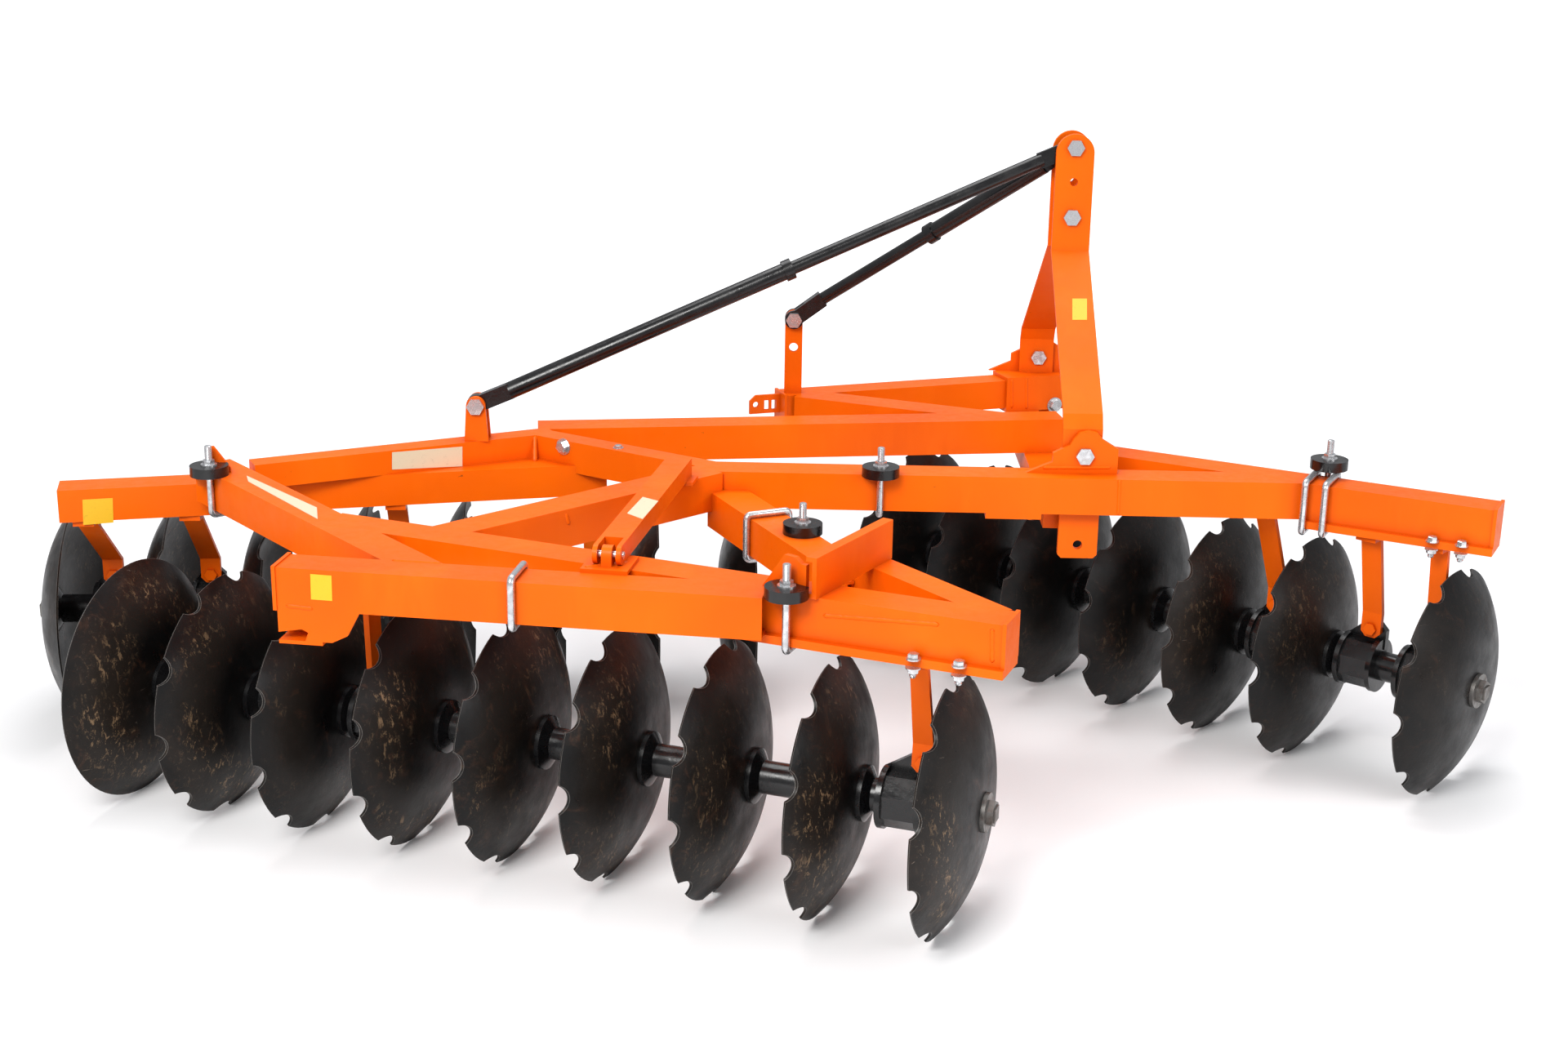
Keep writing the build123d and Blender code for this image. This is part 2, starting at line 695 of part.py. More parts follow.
def link_base():
    """The plate and upright lug on the gang beam that the link arm's clevis grips."""
    middle = LINK_HEIGHT / 2
    plate = Pos(-EAR_REACH + 10, 0, -BASE_THICK / 2) * Box(
        BASE_LENGTH, LINK_WIDTH + 2 * BASE_MARGIN, BASE_THICK
    )
    lug = Pos(-EAR_REACH, 0, middle) * Rot(90, 0, 0) * Cylinder(middle - 1, LINK_LUG_THICK)
    lug += Pos(-EAR_REACH, 0, middle / 2) * Box(LINK_HEIGHT - 2, LINK_LUG_THICK, middle)
    hole = Pos(-EAR_REACH, 0, middle) * Rot(90, 0, 0) * Cylinder(LINK_PIN_RADIUS + PIN_FIT, LINK_WIDTH)
    return line_place(LINK_LINE, FRAME_TOP + BASE_THICK) * (plate + lug - hole)


def link_pad():
    """The lap plate between the link arm's far end and the main beam."""
    length = length_of(LINK_LINE)
    pad = Pos(length - LAP_LENGTH / 2, 0, -BASE_THICK / 2) * Box(
        LAP_LENGTH, LINK_WIDTH + 2 * LAP_MARGIN, BASE_THICK
    )
    return line_place(LINK_LINE, FRAME_TOP + BASE_THICK) * pad


def link_pin():
    length = LINK_WIDTH + 2 * LINK_PIN_END
    pin = Pos(-EAR_REACH, 0, LINK_HEIGHT / 2) * Rot(90, 0, 0) * Cylinder(LINK_PIN_RADIUS, length)
    return line_place(LINK_LINE, FRAME_TOP + BASE_THICK) * pin


# Mast
def mast_leg(foot_y, foot_z, head_y):
    """A cranked flat bar, upright at its foot and head and leaning between them."""
    half = MAST_PLATE / 2
    step = MAST_STEP if head_y > foot_y else -MAST_STEP
    lean = [
        (foot_y, foot_z),
        (foot_y, MAST_FOOT_BEND),
        (foot_y + step, MAST_LOW_BEND),
        (head_y, MAST_HIGH_BEND),
        (head_y, MAST_TOP),
    ]
    outline = [(0, y - half, z) for y, z in lean] + [(0, y + half, z) for y, z in reversed(lean)]
    face = make_face(Polyline(*outline, close=True))
    leg = Pos(MAST_X, 0, 0) * extrude(face, amount=MAST_WIDTH / 2, dir=(1, 0, 0), both=True)
    low = min(foot_y, head_y) - MAST_WIDTH
    high = max(foot_y, head_y) + MAST_WIDTH
    round_z = MAST_TOP - MAST_WIDTH / 2
    front = Pos(MAST_X, (low + high) / 2, (foot_z + round_z) / 2) * Box(
        MAST_WIDTH, high - low, round_z - foot_z
    )
    front += hole_y(MAST_X, round_z, MAST_WIDTH / 2, low, high)
    leg &= front
    for z, radius in (
        (TOP_PIN_Z, PIN_RADIUS + PIN_FIT),
        (MID_BOLT_Z, PIN_RADIUS + PIN_FIT),
        (TOP_LINK_Z, TOP_LINK_RADIUS),
    ):
        leg -= hole_y(MAST_X, z, radius, low, high)
    return leg - hole_y(FOOT_BOLT_X, foot_z + FOOT_BOLT_RISE, PIN_RADIUS + PIN_FIT, low, high)


def foot_lug(y0, y1, base_z):
    """The upright plate that carries one mast leg: round on top, with a long toe on its left."""
    half = MAST_WIDTH / 2
    outline = [
        (-FOOT_LUG_LEFT, 0),
        (-FOOT_LUG_LEFT * 0.7, 0.17 * FOOT_LUG_TOP),
        (-FOOT_LUG_LEFT * 0.53, 0.26 * FOOT_LUG_TOP),
        (-FOOT_LUG_LEFT * 0.53, 0.47 * FOOT_LUG_TOP),
        (-half * 0.65, 0.66 * FOOT_LUG_TOP),
        (-half * 0.5, 0.79 * FOOT_LUG_TOP),
        (-half * 0.2, 0.95 * FOOT_LUG_TOP),
        (half * 0.25, FOOT_LUG_TOP),
        (half * 0.7, 0.96 * FOOT_LUG_TOP),
        (half, 0.8 * FOOT_LUG_TOP),
        (FOOT_LUG_RIGHT, 0.58 * FOOT_LUG_TOP),
        (FOOT_LUG_RIGHT, 0),
    ]
    shape = prism_y([(MAST_X + x, base_z + z) for x, z in outline], y0, y1)
    return shape - hole_y(FOOT_BOLT_X, base_z + FOOT_BOLT_RISE, PIN_RADIUS + PIN_FIT, y0 - 1, y1 + 1)


def cross_pin(x, z, y0, y1, radius=PIN_RADIUS):
    """A pin along Y with a hexagon head at each end, from one outer face to the other."""
    shape = hole_y(x, z, radius, y0 - PIN_HEAD, y1 + PIN_HEAD)
    for y, way in ((y0, -1), (y1, 1)):
        head = extrude(RegularPolygon(HEAD_RADIUS, 6), amount=PIN_HEAD / 2, both=True)
        shape += Pos(x, y + way * PIN_HEAD / 2, z) * Rot(90, 0, 0) * head
    return shape


# Stays
def eye(pin, toward, reach, width_y, radius=EYE_RADIUS):
    """A flat eye round a pin along Y, reaching from the pin towards another point."""
    way = atan2(toward[2] - pin[2], toward[0] - pin[0])
    flat = Pos(reach / 2, 0, 0) * Box(reach, width_y, 2 * radius * 0.8)
    flat += Rot(90, 0, 0) * Cylinder(radius, width_y)
    flat -= Rot(90, 0, 0) * Cylinder(PIN_RADIUS + PIN_FIT, width_y + 2)
    return Pos(*pin) * Rot(0, -degrees(way), 0) * flat


def eye_end(pin, toward, reach):
    way = atan2(toward[2] - pin[2], toward[0] - pin[0])
    return pin[0] + reach * cos(way), pin[1], pin[2] + reach * sin(way)


def stay(low_pin, high_pin, low_width, low_radius, high_radius, slot=0):
    """A black telescopic stay with a flat eye at the mast and an eye or a fork at its foot."""
    low = eye_end(low_pin, high_pin, EYE_REACH - 8)
    high = eye_end(high_pin, low_pin, EYE_REACH - 8)
    start = Vector(*low)
    span = Vector(*high) - start
    split = start + span * STAY_SPLIT
    shape = rod(tuple(start), tuple(split), low_radius)
    shape += rod(tuple(split), high, high_radius)
    along = span.normalized() * STAY_COLLAR_LENGTH
    shape += rod(tuple(split - along), tuple(split), STAY_COLLAR_RADIUS)
    shape += eye(high_pin, low_pin, EYE_REACH, EYE_THICK)
    foot = eye(low_pin, high_pin, EYE_REACH, low_width)
    if slot:
        foot -= eye_slot(low_pin, high_pin, slot)
    return shape + foot


def eye_slot(pin, toward, width):
    way = atan2(toward[2] - pin[2], toward[0] - pin[0])
    cut = Pos((EYE_REACH - 40) / 2 - 20, 0, 0) * Box(EYE_REACH - 20, width, 4 * EYE_RADIUS)
    return Pos(*pin) * Rot(0, -degrees(way), 0) * cut


def stay_post():
    """The flat upright on the rear rail, with a pin hole for the stay and a spare one."""
    half = POST_WIDTH / 2
    top = FRAME_TOP + POST_PIN_RISE
    low = FRAME_TOP
    shape = prism_y(
        [(POST_X - half, low), (POST_X + half, low), (POST_X + half, top), (POST_X - half, top)],
        POST_Y - POST_THICK / 2,
        POST_Y + POST_THICK / 2,
    )
    shape += hole_y(POST_X, top, half, POST_Y - POST_THICK / 2, POST_Y + POST_THICK / 2)
    for rise in (POST_PIN_RISE, POST_SPARE_RISE):
        shape -= hole_y(POST_X, low + rise, PIN_RADIUS + PIN_FIT, POST_Y - 20, POST_Y + 20)
    return shape


def lug_pair():
    """The two upright plates on the rear beam that hold the long stay's foot."""
    solids = []
    for way in (-1, 1):
        y0 = LUG_Y + way * LUG_GAP
        y1 = y0 + way * LUG_PLATE
        top = FRAME_TOP + LUG_PIN_RISE
        points = [
            (LUG_X - LUG_REACH, FRAME_TOP),
            (LUG_X + LUG_REACH, FRAME_TOP),
            (LUG_X + LUG_REACH - 6, top),
            (LUG_X - LUG_REACH + 6, top),
        ]
        plate = prism_y(points, min(y0, y1), max(y0, y1))
        plate += hole_y(LUG_X, top, LUG_REACH - 6, y0, y1)
        plate -= hole_y(LUG_X, top, PIN_RADIUS + PIN_FIT, min(y0, y1) - 1, max(y0, y1) + 1)
        solids.append(plate)
    return solids


# Lower links
def hitch_plate(y, top):
    """A plate under a beam, with the hole that takes a lower link's pin."""
    left = MAST_X - HITCH_WIDTH / 2
    right = MAST_X + HITCH_WIDTH / 2
    low = top - HITCH_DROP
    points = [
        (left, top),
        (right, top),
        (right, low + HITCH_CORNER),
        (right - HITCH_CORNER, low),
        (left + HITCH_CORNER, low),
        (left, low + HITCH_CORNER),
    ]
    shape = prism_y(points, y - HITCH_THICK / 2, y + HITCH_THICK / 2)
    return shape - hole_y(MAST_X, low + HITCH_EDGE, HITCH_RADIUS, y - 20, y + 20)


# Clamps
def wrap_rod(line, along, bottom, top, near, far):
    """A bent rod round a beam: its hook below, its leg on the near side, over the top and down behind."""
    stand = CLAMP_ROD_RADIUS + CLAMP_SEAT_GAP
    return bent_rod(
        line,
        along,
        [
            (near + HOOK_REACH, bottom - stand),
            (near, bottom - stand),
            (near, top + stand),
            (far, top + stand),
            (far, top - TUBE_SIDE / 3),
        ],
    )


def leg_rod(line, along, bottom, top, near, side):
    """A rod up one side of a beam and through its cap, hooked under the beam."""
    stand = CLAMP_ROD_RADIUS + CLAMP_SEAT_GAP
    return bent_rod(
        line,
        along,
        [
            (near - side * HOOK_REACH, bottom - stand),
            (near, bottom - stand),
            (near, top + CAP_THICK + STUD_RISE),
        ],
    )


def bent_rod(line, along, profile):
    points = [(*beside(line, along, across), z) for across, z in profile]
    path = FilletPolyline(*points, radius=CLAMP_BEND)
    section = Plane(origin=path @ 0, z_dir=path % 0) * Circle(CLAMP_ROD_RADIUS)
    return sweep(section, path=path)


def cap(point, seat):
    """A thick round cap with a hole for its rod or stud."""
    ring = Cylinder(CAP_RADIUS, CAP_THICK, align=(Align.CENTER, Align.CENTER, Align.MIN))
    ring -= Cylinder(CLAMP_ROD_RADIUS + PIN_FIT, 3 * CAP_THICK)
    return Pos(*point, seat) * ring


def cap_stud(point, low, seat):
    length = seat + CAP_THICK + STUD_RISE - low
    return Pos(*point, low) * Cylinder(
        CLAMP_ROD_RADIUS, length, align=(Align.CENTER, Align.CENTER, Align.MIN)
    )


def cap_nut(point, seat):
    nut = extrude(RegularPolygon(NUT_RADIUS, 6), amount=NUT_HEIGHT)
    nut -= Cylinder(CLAMP_ROD_RADIUS + PIN_FIT, 3 * NUT_HEIGHT)
    return Pos(*point, seat + CAP_THICK) * nut


def beside(line, along, across):
    """A plan point at a distance along a line and across it, to the left where positive."""
    angle = radians(angle_of(line))
    x, y = line[0]
    return (
        x + along * cos(angle) - across * sin(angle),
        y + along * sin(angle) + across * cos(angle),
    )


# Clamps whose leg goes up through a cap: the line, the place along it, the beam's underside, the cap's
# seat, the depth of the beam's lip, and the beam's side, -1 in front and 1 behind.
OVER_RODS = FRAME_TOP + 2 * (CLAMP_ROD_RADIUS + CLAMP_SEAT_GAP)
LEG_CLAMPS = [
    (LEFT_BRACE_LINE, 100, PLAIN, FRAME_TOP, 0, -1),
    (BEAM_A_LINE, 1113, LIPPED, FRAME_TOP, LIP_DEPTH, -1),
    (MAIN_LINE, 428, PLAIN, FRAME_TOP, 0, -1),
    (BEAM_B_LINE, 654, LIPPED, OVER_RODS, 0, 1),
]
# Bent rods right round a beam: the line, the place along it, the beam's underside, top and lip.
WRAP_CLAMPS = [
    (CROSS_TUBE_LINE, 250, CROSS_TUBE_TOP - TUBE_SIDE, CROSS_TUBE_TOP, 0),
    (BEAM_B_LINE, 630, LIPPED, FRAME_TOP, LIP_DEPTH),
    (BEAM_B_LINE, 678, LIPPED, FRAME_TOP, LIP_DEPTH),
    (RAIL_LINE, 508, PLAIN, FRAME_TOP, 0),
]
# A cap on a stud of its own: the line, the places along and across it, and the beam's top.
STUD_CAPS = [(CROSS_TUBE_LINE, 394, 20, CROSS_TUBE_TOP)]


def clamps():
    rods, caps, nuts = [], [], []
    reach = TUBE_SIDE / 2 + CLAMP_ROD_RADIUS + CLAMP_SEAT_GAP
    for line, along, bottom, top, lip in WRAP_CLAMPS:
        rods.append(wrap_rod(line, along, bottom, top, -reach - lip, reach))
    for line, along, bottom, seat, lip, side in LEG_CLAMPS:
        across = side * (reach + lip)
        rods.append(leg_rod(line, along, bottom, seat, across, side))
        point = beside(line, along, across)
        caps.append(cap(point, seat))
        nuts.append(cap_nut(point, seat))
    for line, along, across, seat in STUD_CAPS:
        point = beside(line, along, across)
        rods.append(cap_stud(point, seat, seat))
        caps.append(cap(point, seat))
        nuts.append(cap_nut(point, seat))
    caps = [largest(ring - stub_block() - gusset()) for ring in caps]
    return rods, caps, nuts


def build():
    nodes = {}
    plain = plain_disc()
    notched = notched_disc(plain)
    for name, (gang, beams) in GANGS.items():
        bearings = BEARINGS[name]
        nodes[f"discs_{name}"] = gang_discs(gang, plain, notched)
        nodes[f"spools_{name}"] = gang_spools(gang, bearings)
        nodes[f"axle_{name}"] = [gang_axle(gang)]
        nodes[f"bearings_{name}"] = []
        nodes[f"hangers_{name}"] = []
        for (station, length), (line, bottom, low, high, section) in zip(bearings, beams):
            shell = gang_place(gang) * housing(station, length, low, section[1])
            arm = hanger(gang, line, bottom, station, low, high, section)
            nodes[f"bearings_{name}"].append(shell)
            nodes[f"hangers_{name}"].append(arm)
    for name, shape in frame_tubes().items():
        nodes[name] = [shape]
    nodes["beam_pads"] = [
        beam_pad(MAIN_LINE, MAIN_PAD, TUBE_SIDE),
        beam_pad(BEAM_B_LINE, BEAM_B_PAD, TUBE_SIDE),
    ]
    nodes["rail_bracket"] = [rail_bracket()]
    nodes["rail_end_bracket"] = [rail_end_bracket()]
    nodes["stub_channel"] = [stub_channel()]
    nodes["gusset"] = [gusset()]
    nodes["link_arm"] = [link_arm()]
    nodes["link_base"] = [link_base()]
    nodes["link_pad"] = [link_pad()]
    nodes["link_pin"] = [link_pin()]

    half = MAST_PLATE / 2
    near_head = MAST_HEAD_Y - MAST_GAP / 2 - half
    far_head = MAST_HEAD_Y + MAST_GAP / 2 + half
    far_base = FRAME_TOP + SLEEVE_WALL
    nodes["mast_leg_near"] = [mast_leg(NEAR_FOOT_Y, FRAME_TOP, near_head)]
    nodes["mast_leg_far"] = [mast_leg(FAR_FOOT_Y, far_base, far_head)]
    near_face = NEAR_FOOT_Y - half
    far_face = FAR_FOOT_Y + half
    nodes["mast_lugs"] = [
        foot_lug(near_face - FOOT_LUG_THICK, near_face, FRAME_TOP),
        foot_lug(far_face, far_face + FOOT_LUG_THICK, far_base),
    ]
    nodes["mast_pins"] = [
        cross_pin(MAST_X, TOP_PIN_Z, near_head - half, far_head + half),
        cross_pin(MAST_X, MID_BOLT_Z, near_head - half, far_head + half),
        cross_pin(FOOT_BOLT_X, FRAME_TOP + FOOT_BOLT_RISE, near_face - FOOT_LUG_THICK, near_face + MAST_PLATE),
        cross_pin(FOOT_BOLT_X, far_base + FOOT_BOLT_RISE, far_face - MAST_PLATE, far_face + FOOT_LUG_THICK),
    ]

    eye_y = MAST_GAP / 2 - EYE_THICK / 2 - 3
    post_pin = (POST_X, POST_Y, FRAME_TOP + POST_PIN_RISE)
    lug_pin = (LUG_X, LUG_Y, FRAME_TOP + LUG_PIN_RISE)
    fork_width = POST_THICK + 2 * EYE_THICK + 1
    short_head = (MAST_X, MAST_HEAD_Y + eye_y, TOP_PIN_Z)
    long_head = (MAST_X, MAST_HEAD_Y - eye_y, TOP_PIN_Z)
    nodes["stay_short"] = [stay(post_pin, short_head, fork_width, STAY_ROD_RADIUS, STAY_TUBE_RADIUS, POST_THICK + 1)]
    nodes["stay_long"] = [stay(lug_pin, long_head, 2 * LUG_GAP - 2, STAY_TUBE_RADIUS, STAY_ROD_RADIUS)]
    nodes["stay_post"] = [stay_post()]
    nodes["stay_lugs"] = lug_pair()
    half_fork = fork_width / 2
    half_lugs = LUG_GAP + LUG_PLATE
    nodes["stay_pins"] = [
        cross_pin(post_pin[0], post_pin[2], POST_Y - half_fork, POST_Y + half_fork),
        cross_pin(lug_pin[0], lug_pin[2], LUG_Y - half_lugs, LUG_Y + half_lugs),
    ]
    nodes["hitch_plate_near"] = [hitch_plate(NEAR_HITCH_Y, PLAIN)]
    nodes["hitch_plate_far"] = [hitch_plate(FAR_FOOT_Y, FRAME_TOP - REAR_SIDE - SLEEVE_WALL)]
    rods, caps, nuts = clamps()
    nodes["clamp_rods"] = rods
    nodes["clamp_caps"] = caps
    nodes["clamp_nuts"] = nuts
    return nodes


def origin_of(nodes):
    """The middle of the whole object in plan, at floor level."""
    box = Compound([solid for solids in nodes.values() for solid in solids]).bounding_box()
    return Vector((box.min.X + box.max.X) / 2, (box.min.Y + box.max.Y) / 2, box.min.Z)


NODES = build()
ORIGIN = origin_of(NODES)


def export_all():
    shift = Pos(-ORIGIN.X, -ORIGIN.Y, -ORIGIN.Z)
    for name, solids in NODES.items():
        moved = [shift * solid for solid in solids]
        shape = moved[0] if len(moved) == 1 else Compound(children=moved)
        export_step(shape, f"parts/{name}.step")


export_all()
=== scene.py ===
import json
import math
import random

import bmesh
import bpy
from mathutils import Matrix, Vector
from mathutils.bvhtree import BVHTree


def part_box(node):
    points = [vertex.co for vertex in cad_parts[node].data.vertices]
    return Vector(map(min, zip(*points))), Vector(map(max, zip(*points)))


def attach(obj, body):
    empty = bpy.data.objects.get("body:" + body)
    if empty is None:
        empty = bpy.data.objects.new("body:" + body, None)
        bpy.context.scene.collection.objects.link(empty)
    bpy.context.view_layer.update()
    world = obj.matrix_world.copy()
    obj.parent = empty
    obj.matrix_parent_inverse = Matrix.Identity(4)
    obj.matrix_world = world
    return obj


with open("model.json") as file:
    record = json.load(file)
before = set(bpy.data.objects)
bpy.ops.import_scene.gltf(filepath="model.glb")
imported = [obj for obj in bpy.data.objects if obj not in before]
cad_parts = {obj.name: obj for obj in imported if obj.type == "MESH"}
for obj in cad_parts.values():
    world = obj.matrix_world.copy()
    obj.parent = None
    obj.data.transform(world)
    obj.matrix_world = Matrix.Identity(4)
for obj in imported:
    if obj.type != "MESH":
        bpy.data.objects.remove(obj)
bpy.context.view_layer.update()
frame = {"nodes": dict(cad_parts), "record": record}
nodes = frame["nodes"]

# Camera, read from the photograph: focal length in pixels, then heights and distances in metres.
PHOTO_WIDTH = 1920
PHOTO_HEIGHT = 1280
FOCAL_PIXELS = 2604
SENSOR_WIDTH = 36
PITCH = 0.3003
ROLL = 0.0169
CAMERA_HEIGHT = 2.131
CAMERA_BACK = 4.984

# The part's plan positions are measured from a working point, found again from two nodes.
MAST_X = 0.717
NEAR_HITCH_Y = -0.030
mast_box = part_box("mast_leg_near")
hitch_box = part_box("hitch_plate_near")
SHIFT = Vector((
    (mast_box[0].x + mast_box[1].x) / 2 - MAST_X,
    (hitch_box[0].y + hitch_box[1].y) / 2 - NEAR_HITCH_Y,
    0,
))


def make_camera():
    data = bpy.data.cameras.new("camera")
    data.sensor_width = SENSOR_WIDTH
    data.lens = FOCAL_PIXELS * SENSOR_WIDTH / PHOTO_WIDTH
    data.clip_end = 100
    camera = bpy.data.objects.new("camera", data)
    bpy.context.collection.objects.link(camera)
    look = Vector((0, math.cos(PITCH), -math.sin(PITCH)))
    up = Vector((0, math.sin(PITCH), math.cos(PITCH)))
    right = Vector((1, 0, 0))
    rolled_right = math.cos(ROLL) * right + math.sin(ROLL) * up
    rolled_up = math.cos(ROLL) * up - math.sin(ROLL) * right
    turn = Matrix((rolled_right, rolled_up, -look)).transposed().to_4x4()
    camera.matrix_world = Matrix.Translation(SHIFT + Vector((0, -CAMERA_BACK, CAMERA_HEIGHT))) @ turn
    bpy.context.scene.camera = camera


# Materials: lengths in metres, colours linear
FLOOR_SIZE = 60
# The distances between which the floor's own white grows, and how strong it is at each
FLOOR_FADE = (2.2, 6.0)
FLOOR_GLOW = (0.06, 0.9)
# The radii between which the ring of flakes on a disc comes and goes
FLAKE_RISE = (0.125, 0.175)
FLAKE_FALL = (0.225, 0.268)
ENAMEL = (0.92, 0.138, 0.0006, 1)
ENAMEL_DEEP = (0.80, 0.102, 0.0005, 1)
ENAMEL_RUN = (0.98, 0.17, 0.004, 1)
ENAMEL_CHIP = (0.10, 0.03, 0.012, 1)
# Painted shade in the enamel's corners and seams: its dark red, and how far the occlusion reaches
ENAMEL_CORNER_SHADE = (0.30, 0.022, 0.001, 1)
CORNER_SHADE_REACH = 0.03
BLACK = (0.004, 0.004, 0.0045, 1)
DUST = (0.035, 0.030, 0.027, 1)
DISC_BLACK = (0.0035, 0.0033, 0.0034, 1)
# Broad brown patches on the discs: partly worn steel, partly painted sheen
DISC_WEAR_SHEEN = (0.016, 0.0105, 0.0075, 1)
DISC_RUST = (0.060, 0.026, 0.014, 1)
DISC_SCRATCH = (0.20, 0.150, 0.115, 1)
DISC_RING = (0.034, 0.025, 0.019, 1)
DISC_FLAKE = (0.30, 0.19, 0.105, 1)
DISC_EDGE = (0.42, 0.39, 0.36, 1)
BARE_STEEL = (0.20, 0.19, 0.18, 1)
STEEL_STAIN = (0.07, 0.045, 0.032, 1)
ZINC_BRIGHT = (0.72, 0.73, 0.75, 1)
ZINC_CLOUD = (0.46, 0.46, 0.47, 1)
FLOOR_WHITE = (0.90, 0.90, 0.91, 1)
YELLOW = (0.80, 0.44, 0.006, 1)
PALE = (0.72, 0.60, 0.42, 1)


def grey(value):
    return (value, value, value, 1)


class Shader:
    """A material's nodes, with short ways to add and join them."""

    def __init__(self, name):
        self.material = bpy.data.materials.new(name)
        self.material.use_nodes = True
        self.tree = self.material.node_tree
        self.tree.nodes.clear()
        self.output = self.add("ShaderNodeOutputMaterial")
        self.bsdf = self.add("ShaderNodeBsdfPrincipled")
        self.join(self.bsdf.outputs[0], self.output.inputs["Surface"])
        self.place = self.add("ShaderNodeNewGeometry").outputs["Position"]
        self.local = self.add("ShaderNodeTexCoord").outputs["Object"]

    def add(self, kind, **values):
        node = self.tree.nodes.new(kind)
        for key, value in values.items():
            setattr(node, key, value)
        return node

    def join(self, source, target):
        self.tree.links.new(source, target)

    def noise(self, scale, detail=4, roughness=0.55, distortion=0, stretch=None):
        node = self.add("ShaderNodeTexNoise")
        node.inputs["Scale"].default_value = scale
        node.inputs["Detail"].default_value = detail
        node.inputs["Roughness"].default_value = roughness
        node.inputs["Distortion"].default_value = distortion
        place = self.local
        if stretch:
            mapping = self.add("ShaderNodeMapping")
            mapping.inputs["Scale"].default_value = stretch
            self.join(place, mapping.inputs["Vector"])
            place = mapping.outputs[0]
        self.join(place, node.inputs["Vector"])
        return node.outputs["Fac"]

    def ramp(self, source, low, high, start=grey(0), end=grey(1)):
        node = self.add("ShaderNodeValToRGB")
        node.color_ramp.elements[0].position = low
        node.color_ramp.elements[1].position = high
        node.color_ramp.elements[0].color = start
        node.color_ramp.elements[1].color = end
        self.join(source, node.inputs[0])
        return node.outputs[0]

    def mix(self, factor, first, second):
        node = self.add("ShaderNodeMix", data_type="RGBA")
        self.feed(node.inputs[0], factor)
        self.feed(node.inputs[6], first)
        self.feed(node.inputs[7], second)
        return node.outputs[2]

    def math(self, operation, first, second):
        node = self.add("ShaderNodeMath", operation=operation)
        node.use_clamp = True
        self.feed(node.inputs[0], first)
        self.feed(node.inputs[1], second)
        return node.outputs[0]

    def feed(self, socket, value):
        if isinstance(value, bpy.types.NodeSocket):
            self.join(value, socket)
        else:
            socket.default_value = value

    def bump(self, height, strength, distance):
        node = self.add("ShaderNodeBump")
        node.inputs["Strength"].default_value = strength
        node.inputs["Distance"].default_value = distance
        self.join(height, node.inputs["Height"])
        self.join(node.outputs[0], self.bsdf.inputs["Normal"])

    def edges(self, radius, samples=4):
        """Bright on convex edges, from the bevel node's bent normal."""
        bevel = self.add("ShaderNodeBevel", samples=samples)
        bevel.inputs["Radius"].default_value = radius
        geometry = self.add("ShaderNodeNewGeometry")
        dot = self.add("ShaderNodeVectorMath", operation="DOT_PRODUCT")
        self.join(bevel.outputs[0], dot.inputs[0])
        self.join(geometry.outputs["Normal"], dot.inputs[1])
        return self.ramp(dot.outputs["Value"], 0.88, 0.995, grey(1), grey(0))

    def from_axle(self, joint):
        """The distance in metres from a joint's axis."""
        offset = self.add("ShaderNodeVectorMath", operation="SUBTRACT")
        self.join(self.local, offset.inputs[0])
        offset.inputs[1].default_value = joint["pos_m"]
        across = self.add("ShaderNodeVectorMath", operation="CROSS_PRODUCT")
        self.join(offset.outputs[0], across.inputs[0])
        across.inputs[1].default_value = joint["axis"]
        radius = self.add("ShaderNodeVectorMath", operation="LENGTH")
        self.join(across.outputs[0], radius.inputs[0])
        return radius.outputs["Value"]

    def set(self, **values):
        """Plain values of the shader, by input name with _ for a space."""
        for key, value in values.items():
            self.bsdf.inputs[key.replace("_", " ")].default_value = value

    def shade_from_occlusion(self, distance, samples):
        """High in corners and seams, from ambient occlusion: a mask for painted shade."""
        node = self.add("ShaderNodeAmbientOcclusion", samples=samples)
        node.inputs["Distance"].default_value = distance
        return self.ramp(node.outputs["AO"], 0.35, 0.95, grey(1), grey(0))


def orange_paint(name="orange_enamel"):
    """Gloss enamel over brushed-on plate: uneven, with chips, runs and painted shade that darkens the
    corners.
    """
    s = Shader(name)
    broad = s.noise(2.2, 3, 0.5)
    fine = s.noise(38, 4, 0.6)
    colour = s.mix(s.ramp(broad, 0.35, 0.7), ENAMEL, ENAMEL_DEEP)
    runs = s.ramp(s.noise(7, 4, 0.6, 0.3, (1, 1, 0.25)), 0.52, 0.75)
    colour = s.mix(s.math("MULTIPLY", runs, 0.35), colour, ENAMEL_RUN)
    specks = s.ramp(s.noise(64, 3, 0.7, 0.6), 0.73, 0.77)
    colour = s.mix(s.math("MULTIPLY", specks, 0.75), colour, ENAMEL_CHIP)
    # Painted shade: the enamel is darkened in corners and seams, from ambient occlusion
    corners = s.shade_from_occlusion(CORNER_SHADE_REACH, 2)
    colour = s.mix(s.math("MULTIPLY", corners, 0.55), colour, ENAMEL_CORNER_SHADE)
    s.join(colour, s.bsdf.inputs["Base Color"])
    s.join(s.ramp(fine, 0.3, 0.8, grey(0.34), grey(0.50)), s.bsdf.inputs["Roughness"])
    s.set(Specular_IOR_Level=0.12, Coat_Weight=0.03, Coat_Roughness=0.2)
    s.bump(s.math("ADD", s.noise(260, 3, 0.6), s.noise(24, 2, 0.5)), 0.12, 0.0014)
    return s.material


